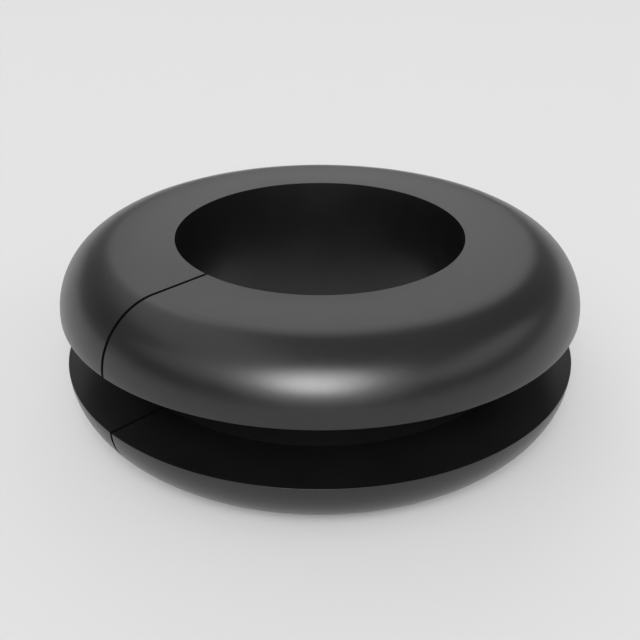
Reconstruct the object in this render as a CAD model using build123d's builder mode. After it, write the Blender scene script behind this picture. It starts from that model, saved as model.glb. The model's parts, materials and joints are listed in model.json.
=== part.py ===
from build123d import *
import os

# A split rubber grommet: a moulded ring that lines a round hole in a panel and
# guards the cable that passes through it. The origin is on the bore's axis,
# midway between the flat end faces. +Z runs along the bore, and the slit is at -Y.

# Driving sizes, in millimetres
bore_diameter = 10.0  # the cable's passage
groove_diameter = 14.0  # the hole in the panel
flange_diameter = 18.0
groove_width = 2.0  # the panel's thickness
flange_thickness = 2.0  # also the radius of the flange's quarter round
slit_gap = 0.12  # the cut that lets a cable in sideways

# Radii and heights that follow from them
bore_radius = bore_diameter / 2
groove_radius = groove_diameter / 2
flange_radius = flange_diameter / 2
groove_height = groove_width / 2  # from the middle of the groove to its wall
face_height = groove_height + flange_thickness
overall_height = 2 * face_height

with BuildPart() as grommet:
    # The section of the wall, drawn above the middle of the groove and mirrored
    # below it. The flat face runs tangent into the round, and the round meets the
    # groove's wall in a crisp edge.
    with BuildSketch(Plane.XZ):
        with BuildLine():
            flat_face = Line(
                (bore_radius, face_height),
                (flange_radius - flange_thickness, face_height),
            )
            quarter_round = JernArc(flat_face @ 1, flat_face % 1, flange_thickness, -90)
            Polyline(
                quarter_round @ 1,
                (groove_radius, groove_height),
                (groove_radius, 0),
                (bore_radius, 0),
                flat_face @ 0,
            )
        make_face()
        mirror(about=Plane.XZ)
    revolve(axis=Axis.Z)

    # The slit goes through one side of the ring at its full height, with parallel
    # walls, and starts at the axis so that it opens the whole wall.
    with BuildSketch(Plane.XY.offset(-face_height)):
        Rectangle(slit_gap, flange_diameter, align=(Align.CENTER, Align.MAX))
    extrude(amount=overall_height, mode=Mode.SUBTRACT)

grommet.part.label = "grommet"

os.makedirs("parts", exist_ok=True)
export_step(grommet.part, "parts/grommet.step")
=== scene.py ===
"""A split rubber grommet: one moulded black rubber ring with a bore for a cable, a
rounded flange at each end, a square groove for the panel between them and a thin cut
through one side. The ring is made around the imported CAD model, in metres, and stands
on a plain pale floor in soft studio light."""

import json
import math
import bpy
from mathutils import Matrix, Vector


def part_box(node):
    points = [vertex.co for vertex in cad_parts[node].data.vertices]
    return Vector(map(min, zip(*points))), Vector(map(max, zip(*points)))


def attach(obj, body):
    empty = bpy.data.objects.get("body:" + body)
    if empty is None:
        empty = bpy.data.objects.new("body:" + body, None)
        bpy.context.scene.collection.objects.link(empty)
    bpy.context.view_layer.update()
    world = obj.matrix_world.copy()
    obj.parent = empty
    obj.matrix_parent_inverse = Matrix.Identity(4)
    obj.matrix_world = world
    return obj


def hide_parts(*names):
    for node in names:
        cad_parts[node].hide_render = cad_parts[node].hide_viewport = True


bl_info = {
    "name": "Split Rubber Grommet",
    "version": (1, 0, 0),
    "blender": (4, 5, 0),
    "location": "3D View > Sidebar > Grommet",
    "description": "Makes a split rubber grommet, its moulded finish and a soft studio stage",
    "category": "Add Mesh",
}

import bmesh
import bpy
from bpy.props import FloatProperty, FloatVectorProperty, IntProperty, PointerProperty
from bpy.types import Operator, Panel, PropertyGroup
from mathutils import Vector

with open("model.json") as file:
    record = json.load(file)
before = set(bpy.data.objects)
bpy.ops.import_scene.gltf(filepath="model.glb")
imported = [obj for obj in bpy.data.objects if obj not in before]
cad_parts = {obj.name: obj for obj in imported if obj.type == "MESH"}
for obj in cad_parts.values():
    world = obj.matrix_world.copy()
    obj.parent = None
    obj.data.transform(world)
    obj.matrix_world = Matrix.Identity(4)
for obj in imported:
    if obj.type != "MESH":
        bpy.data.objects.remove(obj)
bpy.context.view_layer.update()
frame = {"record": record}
node_low, node_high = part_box("grommet")
mounts = {mount["name"]: mount for mount in frame["record"]["mounts"]}

MM = 0.001
FULL_TURN = math.radians(360)
QUARTER_TURN = math.radians(90)
MERGE_DISTANCE = 0.0005 * MM
# Edges that turn by less than this are shaded smooth
CRISP_ANGLE = math.radians(40)
# Facets across each softened edge of the ring
EDGE_STEPS = 4
# The section's corners are told apart to the micrometre
CORNER_DIGITS = 6

# The ring's material slots: the skin, the groove's walls and floor, and the slit's walls
SATIN, MATT, TOOLED, CUT = range(4)
# The carbon black in it makes the rubber mirror a little more than a clear plastic
RUBBER_IOR = 1.6
# Half is a smooth skin, and tool or knife marks trap more of the light between them
SATIN_GLOSS = 0.5
MATT_GLOSS = 0.25
TOOLED_GLOSS = 0.08
CUT_GLOSS = 0.05
# The grain in the groove and the cut is this many times as deep as the skin's
COARSE_GRAIN = 2
# The knife went in towards the axis, so the lines that it left are long in Y
KNIFE_STRETCH = (1.0, 0.05, 1.0)
NO_STRETCH = (1.0, 1.0, 1.0)
# Nearly all of a noise texture's values lie between these
NOISE_LOW = 0.3
NOISE_HIGH = 0.7
GRAIN_DETAIL = 1.0
BLOOM_DETAIL = 3.0
# How far the bloom lightens and darkens the colour
TINT_CHANGE = 0.15
# How far the grain and the bloom each move the roughness; more leaves specks when denoised
ROUGHNESS_CHANGE = 0.01

# The camera's sensor, in millimetres, and the nearest and furthest that it sees, in metres
SENSOR_WIDTH = 36.0
NEAR_LIMIT = 1.0 * MM
FAR_LIMIT = 10.0
# The stage, in metres
LAMP_DISTANCE = 3.0
FLOOR_HEIGHT = node_low.z
FLOOR_RADIUS = 0.44
FLOOR_STEPS = 96
SWEEP_RADIUS = 0.075
SWEEP_STEPS = 12
# The room is one grey up to this sine of the elevation, and grows paler above it
CEILING_STARTS = 0.5


# The sizes of the moulding

class GrommetShape(PropertyGroup):
    bore_radius: FloatProperty(
        name="Bore Radius",
        description="Radius of the cable's passage",
        default=mounts["cable_bore"]["dims"]["r_mm"] * MM,
        unit="LENGTH",
    )
    groove_radius: FloatProperty(
        name="Groove Radius",
        description="Radius of the groove's floor, which fills the hole in the panel",
        default=7.0 * MM,
        unit="LENGTH",
    )
    flange_radius: FloatProperty(
        name="Flange Radius",
        description="Outside radius of the ring",
        default=node_high.x,
        unit="LENGTH",
    )
    face_height: FloatProperty(
        name="Face Height",
        description="Height of a flat end face above the middle of the groove",
        default=node_high.z,
        unit="LENGTH",
    )
    groove_height: FloatProperty(
        name="Groove Height",
        description="Height of a groove wall above the middle of the groove",
        default=1.0 * MM,
        unit="LENGTH",
    )
    slit_gap: FloatProperty(
        name="Slit Gap",
        description="Distance between the two walls of the cut",
        default=0.12 * MM,
        unit="LENGTH",
    )
    edge_softness: FloatProperty(
        name="Edge Softness",
        description="Radius that the mould leaves on each crisp edge",
        default=0.006 * MM,
        unit="LENGTH",
        precision=6,
    )
    ring_steps: IntProperty(
        name="Ring Steps",
        description="Facets round the whole ring",
        default=360,
    )
    round_steps: IntProperty(
        name="Round Steps",
        description="Facets across each flange's quarter round",
        default=32,
    )


class GrommetFinish(PropertyGroup):
    rubber_color: FloatVectorProperty(
        name="Rubber Colour",
        description="Body colour of the black rubber",
        default=(0.004, 0.004, 0.004),
        subtype="COLOR",
        size=3,
        min=0.0,
        max=1.0,
    )
    satin_roughness: FloatProperty(
        name="Satin Roughness",
        description="Roughness of the flanges and the bore, where the mould is polished",
        default=0.30,
        min=0.0,
        max=1.0,
    )
    matt_roughness: FloatProperty(
        name="Matt Roughness",
        description="Roughness of the groove's walls, where the mould is polished less",
        default=0.38,
        min=0.0,
        max=1.0,
    )
    tooled_roughness: FloatProperty(
        name="Tooled Roughness",
        description="Roughness of the groove's floor, where the mould is left as it was turned",
        default=0.55,
        min=0.0,
        max=1.0,
    )
    cut_roughness: FloatProperty(
        name="Cut Roughness",
        description="Roughness of the slit's walls, which a knife has cut",
        default=0.65,
        min=0.0,
        max=1.0,
    )
    grain_size: FloatProperty(
        name="Grain Size",
        description="Width of one grain of the fine texture that the mould leaves",
        default=0.12 * MM,
        unit="LENGTH",
    )
    grain_depth: FloatProperty(
        name="Grain Depth",
        description="Depth of the polished skin's grain; the groove and the cut are twice as deep",
        default=0.0008 * MM,
        unit="LENGTH",
        precision=6,
    )
    bloom_size: FloatProperty(
        name="Bloom Size",
        description="Width of the faint cloudy patches in the rubber's skin",
        default=1.8 * MM,
        unit="LENGTH",
    )
    knife_line_width: FloatProperty(
        name="Knife Line Width",
        description="Width of the fine lines that the knife has dragged along the cut",
        default=0.06 * MM,
        unit="LENGTH",
    )


class GrommetStage(PropertyGroup):
    camera_azimuth: FloatProperty(
        name="Camera Azimuth",
        description="Direction of the camera round the ring, from the front towards +X",
        default=math.radians(45.0),
        subtype="ANGLE",
    )
    camera_elevation: FloatProperty(
        name="Camera Elevation",
        description="Angle of the camera above the horizon",
        default=math.radians(28.383),
        subtype="ANGLE",
    )
    camera_distance: FloatProperty(
        name="Camera Distance",
        description="Distance from the camera to the point that it looks at",
        default=31.029 * MM,
        unit="LENGTH",
    )
    aim_height: FloatProperty(
        name="Aim Height",
        description="Height on the bore's axis of the point that the camera looks at",
        default=-0.5355 * MM,
        unit="LENGTH",
    )
    camera_lens: FloatProperty(
        name="Camera Lens",
        description="Focal length in millimetres, for a sensor 36 millimetres wide",
        default=47.47,
    )
    floor_color: FloatVectorProperty(
        name="Floor Colour",
        description="Colour of the plain pale floor",
        default=(0.65, 0.65, 0.65),
        subtype="COLOR",
        size=3,
        min=0.0,
        max=1.0,
    )
    wall_brightness: FloatProperty(
        name="Wall Brightness",
        description="Brightness of the room's walls, where 1 is white",
        default=0.19,
        min=0.0,
    )
    ceiling_brightness: FloatProperty(
        name="Ceiling Brightness",
        description="Brightness of the ceiling straight above the ring, where 1 is white",
        default=0.4,
        min=0.0,
    )


# Steps that the ring and the floor share, which both start as an outline in the XZ plane

def outline_corner(bm, neighbour, x, z):
    """Adds a corner to an outline and joins it to its neighbour."""
    corner = bm.verts.new((x, 0.0, z))
    bm.edges.new((neighbour, corner))
    return corner


def sweep_quarter(bm, start, centre_height, angle, steps):
    """Sweeps a corner along a quarter round centred above or below it, and returns its end."""
    swept = bmesh.ops.spin(
        bm,
        geom=[start],
        cent=(start.co.x, 0.0, centre_height),
        axis=(0.0, 1.0, 0.0),
        angle=angle,
        steps=steps,
        use_duplicate=False,
    )
    return swept["geom_last"][0]


def turn_outline(bm, steps):
    """Turns the outline once round the bore's axis."""
    bmesh.ops.spin(
        bm,
        geom=bm.verts[:] + bm.edges[:],
        cent=(0.0, 0.0, 0.0),
        axis=(0.0, 0.0, 1.0),
        angle=FULL_TURN,
        steps=steps,
        use_merge=True,
        use_duplicate=False,
    )
    bmesh.ops.remove_doubles(bm, verts=bm.verts, dist=MERGE_DISTANCE)


def finish_mesh(bm, name):
    """Turns the faces outwards, shades them smooth between crisp edges and returns the mesh."""
    bmesh.ops.recalc_face_normals(bm, faces=bm.faces)
    for face in bm.faces:
        face.smooth = True
    for edge in bm.edges:
        edge.smooth = edge.calc_face_angle(0.0) < CRISP_ANGLE
    mesh = bpy.data.meshes.new(name)
    bm.to_mesh(mesh)
    bm.free()
    return mesh


# Making the ring's mesh

def place_in_section(vertex):
    """A corner's rounded radius and height, which are the same for its mirror image."""
    return round(vertex.co.x, CORNER_DIGITS), round(abs(vertex.co.z), CORNER_DIGITS)


def draw_section(bm, shape):
    """Draws the wall's section as one face, and returns its crisp corners."""
    flange_thickness = shape.face_height - shape.groove_height
    flat_edge = bm.verts.new((shape.flange_radius - flange_thickness, 0.0, shape.face_height))
    lip = sweep_quarter(bm, flat_edge, shape.groove_height, QUARTER_TURN, shape.round_steps)
    root = outline_corner(bm, lip, shape.groove_radius, shape.groove_height)
    outline_corner(bm, root, shape.groove_radius, 0.0)
    rim = outline_corner(bm, flat_edge, shape.bore_radius, shape.face_height)
    outline_corner(bm, rim, shape.bore_radius, 0.0)
    crisp = {place_in_section(vertex) for vertex in (lip, root, rim)}
    bmesh.ops.mirror(
        bm,
        geom=bm.verts[:] + bm.edges[:],
        axis="Z",
        merge_dist=MERGE_DISTANCE,
    )
    bmesh.ops.remove_doubles(bm, verts=bm.verts, dist=MERGE_DISTANCE)
    bmesh.ops.contextual_create(bm, geom=bm.edges[:])
    return [vertex for vertex in bm.verts if place_in_section(vertex) in crisp]


def soften_corners(bm, corners, shape):
    """Gives the crisp corners the small radius that a mould leaves, and keeps the outline."""
    bmesh.ops.bevel(
        bm,
        geom=corners,
        offset=shape.edge_softness,
        offset_type="OFFSET",
        segments=EDGE_STEPS,
        profile=0.5,
        affect="VERTICES",
        clamp_overlap=True,
        material=-1,
    )
    bmesh.ops.delete(bm, geom=bm.faces[:], context="FACES_ONLY")


def cut_slit(bm, shape):
    """Cuts the wall through at -Y with two parallel walls and closes both ends."""
    half_gap = shape.slit_gap / 2
    for side in (-1.0, 1.0):
        front = [v for v in bm.verts if v.co.y < 0.0]
        geometry = set(front)
        for vertex in front:
            geometry.update(vertex.link_edges)
            geometry.update(vertex.link_faces)
        bmesh.ops.bisect_plane(
            bm,
            geom=list(geometry),
            dist=MERGE_DISTANCE,
            plane_co=(side * half_gap, 0.0, 0.0),
            plane_no=(1.0, 0.0, 0.0),
        )
    waste = [
        f for f in bm.faces
        if f.calc_center_median().y < 0.0 and abs(f.calc_center_median().x) < half_gap
    ]
    bmesh.ops.delete(bm, geom=waste, context="FACES")
    open_edges = [e for e in bm.edges if e.is_boundary]
    walls = bmesh.ops.edgeloop_fill(bm, edges=open_edges)["faces"]
    for wall in walls:
        wall.material_index = CUT


def mark_groove(bm, shape):
    """Gives the groove's walls the matt finish and its floor the tooled one."""
    for face in bm.faces:
        middle = face.calc_center_median()
        in_groove = abs(middle.z) < shape.groove_height + MERGE_DISTANCE
        outside_bore = middle.xy.length > (shape.bore_radius + shape.groove_radius) / 2
        if in_groove and outside_bore and face.material_index != CUT:
            on_floor = middle.xy.length < shape.groove_radius + shape.edge_softness
            face.material_index = TOOLED if on_floor else MATT


def ring_mesh(shape):
    """Returns the whole ring as one closed mesh."""
    bm = bmesh.new()
    corners = draw_section(bm, shape)
    soften_corners(bm, corners, shape)
    turn_outline(bm, shape.ring_steps)
    cut_slit(bm, shape)
    mark_groove(bm, shape)
    return finish_mesh(bm, "moulded_ring")


# The rubber's finishes

def start_group(name, inputs, outputs):
    """Starts a shader node group with named sockets, and returns it with its two ends."""
    group = bpy.data.node_groups.new(name, "ShaderNodeTree")
    for label, kind in inputs.items():
        group.interface.new_socket(label, in_out="INPUT", socket_type=kind)
    for label, kind in outputs.items():
        group.interface.new_socket(label, in_out="OUTPUT", socket_type=kind)
    return group, group.nodes.new("NodeGroupInput"), group.nodes.new("NodeGroupOutput")


def add_noise(tree, vector, width, detail):
    """Adds a noise texture whose features are about as wide as the socket's value."""
    per_metre = tree.nodes.new("ShaderNodeMath")
    per_metre.operation = "DIVIDE"
    per_metre.inputs[0].default_value = 1.0
    tree.links.new(width, per_metre.inputs[1])
    noise = tree.nodes.new("ShaderNodeTexNoise")
    noise.inputs["Detail"].default_value = detail
    tree.links.new(vector, noise.inputs["Vector"])
    tree.links.new(per_metre.outputs["Value"], noise.inputs["Scale"])
    return noise.outputs["Fac"]


def spread(tree, noise, low, high):
    """Spreads a noise's usual values over a range."""
    spreader = tree.nodes.new("ShaderNodeMapRange")
    spreader.inputs["From Min"].default_value = NOISE_LOW
    spreader.inputs["From Max"].default_value = NOISE_HIGH
    spreader.inputs["To Min"].default_value = low
    spreader.inputs["To Max"].default_value = high
    tree.links.new(noise, spreader.inputs["Value"])
    return spreader.outputs["Result"]


def skin_group():
    """The effect that all the finishes share: a fine grain and a faint cloudy bloom."""
    group, start, end = start_group(
        "rubber_skin",
        inputs={
            "Vector": "NodeSocketVector",
            "Color": "NodeSocketColor",
            "Roughness": "NodeSocketFloat",
            "Grain Size": "NodeSocketFloat",
            "Bloom Size": "NodeSocketFloat",
        },
        outputs={
            "Color": "NodeSocketColor",
            "Roughness": "NodeSocketFloat",
            "Height": "NodeSocketFloat",
        },
    )
    place = start.outputs["Vector"]
    grain = add_noise(group, place, start.outputs["Grain Size"], GRAIN_DETAIL)
    bloom = add_noise(group, place, start.outputs["Bloom Size"], BLOOM_DETAIL)

    tint = group.nodes.new("ShaderNodeVectorMath")
    tint.operation = "SCALE"
    brightening = spread(group, bloom, 1.0 - TINT_CHANGE, 1.0 + TINT_CHANGE)
    group.links.new(start.outputs["Color"], tint.inputs["Vector"])
    group.links.new(brightening, tint.inputs["Scale"])
    group.links.new(tint.outputs["Vector"], end.inputs["Color"])

    roughness = start.outputs["Roughness"]
    for noise in (grain, bloom):
        total = group.nodes.new("ShaderNodeMath")
        total.operation = "ADD"
        change = spread(group, noise, -ROUGHNESS_CHANGE, ROUGHNESS_CHANGE)
        group.links.new(roughness, total.inputs[0])
        group.links.new(change, total.inputs[1])
        roughness = total.outputs["Value"]
    group.links.new(roughness, end.inputs["Roughness"])
    group.links.new(grain, end.inputs["Height"])
    return group


def rubber_material(
    name, group, finish, roughness, gloss, grain_size, grain_depth, stretch=NO_STRETCH,
):
    """Black rubber with a grain of a given size and depth, which may be stretched into lines."""
    material = bpy.data.materials.new(name)
    material.use_nodes = True
    tree = material.node_tree
    shader = tree.nodes["Principled BSDF"]
    shader.inputs["IOR"].default_value = RUBBER_IOR
    shader.inputs["Specular IOR Level"].default_value = gloss

    place = tree.nodes.new("ShaderNodeTexCoord")
    mapping = tree.nodes.new("ShaderNodeMapping")
    mapping.inputs["Scale"].default_value = stretch
    tree.links.new(place.outputs["Object"], mapping.inputs["Vector"])

    skin = tree.nodes.new("ShaderNodeGroup")
    skin.name = skin.label = "Rubber Skin"
    skin.node_tree = group
    skin.inputs["Color"].default_value = (*finish.rubber_color, 1.0)
    skin.inputs["Roughness"].default_value = roughness
    skin.inputs["Grain Size"].default_value = grain_size
    skin.inputs["Bloom Size"].default_value = finish.bloom_size
    tree.links.new(mapping.outputs["Vector"], skin.inputs["Vector"])

    bump = tree.nodes.new("ShaderNodeBump")
    bump.inputs["Distance"].default_value = grain_depth
    tree.links.new(skin.outputs["Height"], bump.inputs["Height"])
    tree.links.new(skin.outputs["Color"], shader.inputs["Base Color"])
    tree.links.new(skin.outputs["Roughness"], shader.inputs["Roughness"])
    tree.links.new(bump.outputs["Normal"], shader.inputs["Normal"])
    return material


def ring_materials(finish):
    """The ring's finishes, in the order of its material slots."""
    group = skin_group()
    coarse_depth = COARSE_GRAIN * finish.grain_depth
    satin = rubber_material(
        "satin_moulded_rubber", group, finish, finish.satin_roughness, SATIN_GLOSS,
        grain_size=finish.grain_size, grain_depth=finish.grain_depth,
    )
    matt = rubber_material(
        "matt_groove_rubber", group, finish, finish.matt_roughness, MATT_GLOSS,
        grain_size=finish.grain_size, grain_depth=coarse_depth,
    )
    tooled = rubber_material(
        "tooled_groove_rubber", group, finish, finish.tooled_roughness, TOOLED_GLOSS,
        grain_size=finish.grain_size, grain_depth=coarse_depth,
    )
    cut = rubber_material(
        "knife_cut_rubber", group, finish, finish.cut_roughness, CUT_GLOSS,
        grain_size=finish.knife_line_width, grain_depth=coarse_depth, stretch=KNIFE_STRETCH,
    )
    return satin, matt, tooled, cut


# The stage

def direction(azimuth, elevation):
    """The way from the ring to a point at an azimuth round it and an elevation above it."""
    return Vector((
        math.sin(azimuth) * math.cos(elevation),
        -math.cos(azimuth) * math.cos(elevation),
        math.sin(elevation),
    ))


def add_camera(stage):
    """Sets up the camera at the photograph's viewing angle."""
    camera = bpy.data.cameras.new("camera")
    camera.lens = stage.camera_lens
    camera.sensor_width = SENSOR_WIDTH
    camera.clip_start = NEAR_LIMIT
    camera.clip_end = FAR_LIMIT
    holder = bpy.data.objects.new("camera", camera)
    bpy.context.scene.collection.objects.link(holder)
    back = direction(stage.camera_azimuth, stage.camera_elevation)
    holder.location = Vector((0.0, 0.0, stage.aim_height)) + back * stage.camera_distance
    holder.rotation_euler = (-back).to_track_quat("-Z", "Y").to_euler()
    bpy.context.scene.camera = holder


def sweep_mesh():
    """Returns the round floor, which sweeps up into a low backdrop all the way round."""
    bm = bmesh.new()
    middle = bm.verts.new((0.0, 0.0, FLOOR_HEIGHT))
    edge = outline_corner(bm, middle, FLOOR_RADIUS, FLOOR_HEIGHT)
    sweep_quarter(bm, edge, FLOOR_HEIGHT + SWEEP_RADIUS, -QUARTER_TURN, SWEEP_STEPS)
    turn_outline(bm, FLOOR_STEPS)
    return finish_mesh(bm, "floor")


def floor_material(stage):
    """A plain matt paper, without any gloss of its own."""
    material = bpy.data.materials.new("pale_floor")
    material.use_nodes = True
    shader = material.node_tree.nodes["Principled BSDF"]
    shader.inputs["Base Color"].default_value = (*stage.floor_color, 1.0)
    shader.inputs["Specular IOR Level"].default_value = 0.0
    shader.inputs["Roughness"].default_value = 1.0
    return material


def add_floor(stage):
    """Lays the pale floor with its backdrop, which holds the ring's shadow."""
    floor = bpy.data.objects.new("floor", sweep_mesh())
    bpy.context.scene.collection.objects.link(floor)
    floor.data.materials.append(floor_material(stage))


def hang_softbox(name, azimuth, elevation, width, height, brightness):
    """Hangs an oval soft box that faces the ring. Its place and size are the degrees
    round, above and across as the ring sees it, and a brightness of 1 is white."""
    lamp = bpy.data.lights.new(name, "AREA")
    lamp.shape = "ELLIPSE"
    lamp.size = 2 * LAMP_DISTANCE * math.tan(math.radians(width / 2))
    lamp.size_y = 2 * LAMP_DISTANCE * math.tan(math.radians(height / 2))
    area = math.pi / 4 * lamp.size * lamp.size_y
    lamp.energy = math.pi * area * brightness
    holder = bpy.data.objects.new(name, lamp)
    bpy.context.scene.collection.objects.link(holder)
    outward = direction(math.radians(azimuth), math.radians(elevation))
    holder.location = outward * LAMP_DISTANCE
    holder.rotation_euler = outward.to_track_quat("Z", "Y").to_euler()


def hang_softboxes():
    """Hangs the studio's soft boxes: the key over the camera and weaker ones round the ring."""
    hang_softbox("key", azimuth=41, elevation=39, width=20, height=22, brightness=6.0)
    hang_softbox("key_wide", azimuth=44, elevation=42, width=38, height=38, brightness=5.6)
    hang_softbox("key_outer", azimuth=47, elevation=37, width=66, height=62, brightness=1.0)
    hang_softbox("behind", azimuth=223, elevation=34, width=44, height=34, brightness=0.80)
    hang_softbox("right", azimuth=122, elevation=31, width=60, height=21, brightness=0.85)
    hang_softbox("left_high", azimuth=317, elevation=63, width=110, height=36, brightness=0.5)
    hang_softbox("left", azimuth=346, elevation=35, width=50, height=23, brightness=0.55)


def light_world(stage):
    """Makes the dim room, which grows paler towards the ceiling."""
    world = bpy.data.worlds.new("dim_room")
    bpy.context.scene.world = world
    world.use_nodes = True
    tree = world.node_tree
    place = tree.nodes.new("ShaderNodeTexCoord")
    split = tree.nodes.new("ShaderNodeSeparateXYZ")
    height = tree.nodes.new("ShaderNodeMapRange")
    height.inputs["From Min"].default_value = CEILING_STARTS
    height.inputs["To Min"].default_value = stage.wall_brightness
    height.inputs["To Max"].default_value = stage.ceiling_brightness
    tree.links.new(place.outputs["Generated"], split.inputs["Vector"])
    tree.links.new(split.outputs["Z"], height.inputs["Value"])
    tree.links.new(height.outputs["Result"], tree.nodes["Background"].inputs["Color"])


# Operators, panel and registration

class GROMMET_OT_ring(Operator):
    """Makes the moulded ring in place of the plain CAD solid"""

    bl_idname = "grommet.ring"
    bl_label = "Moulded Ring"

    def execute(self, context):
        ring = bpy.data.objects.new("moulded_ring", ring_mesh(context.scene.grommet_shape))
        context.scene.collection.objects.link(ring)
        for material in ring_materials(context.scene.grommet_finish):
            ring.data.materials.append(material)
        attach(ring, "root")
        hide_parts("grommet")
        return {"FINISHED"}


class GROMMET_OT_stage(Operator):
    """Lays the floor and sets up the soft studio light and the camera"""

    bl_idname = "grommet.stage"
    bl_label = "Studio Stage"

    def execute(self, context):
        context.scene.view_settings.view_transform = "Standard"
        add_camera(context.scene.grommet_stage)
        add_floor(context.scene.grommet_stage)
        hang_softboxes()
        light_world(context.scene.grommet_stage)
        return {"FINISHED"}


class GROMMET_PT_sidebar(Panel):
    """Lists the grommet's operators and its sizes and colours"""

    bl_idname = "GROMMET_PT_sidebar"
    bl_label = "Split Rubber Grommet"
    bl_space_type = "VIEW_3D"
    bl_region_type = "UI"
    bl_category = "Grommet"

    def draw(self, context):
        layout = self.layout
        for operator in (GROMMET_OT_ring, GROMMET_OT_stage):
            layout.operator(operator.bl_idname)
        for name in ("grommet_shape", "grommet_finish", "grommet_stage"):
            group = getattr(context.scene, name)
            for setting in group.__annotations__:
                layout.prop(group, setting)


CLASSES = (
    GrommetShape,
    GrommetFinish,
    GrommetStage,
    GROMMET_OT_ring,
    GROMMET_OT_stage,
    GROMMET_PT_sidebar,
)


def register():
    for cls in CLASSES:
        bpy.utils.register_class(cls)
    bpy.types.Scene.grommet_shape = PointerProperty(type=GrommetShape)
    bpy.types.Scene.grommet_finish = PointerProperty(type=GrommetFinish)
    bpy.types.Scene.grommet_stage = PointerProperty(type=GrommetStage)


def unregister():
    del bpy.types.Scene.grommet_stage
    del bpy.types.Scene.grommet_finish
    del bpy.types.Scene.grommet_shape
    for cls in reversed(CLASSES):
        bpy.utils.unregister_class(cls)


def main():
    register()
    bpy.ops.grommet.ring()
    bpy.ops.grommet.stage()


if __name__ == "__main__":
    main()
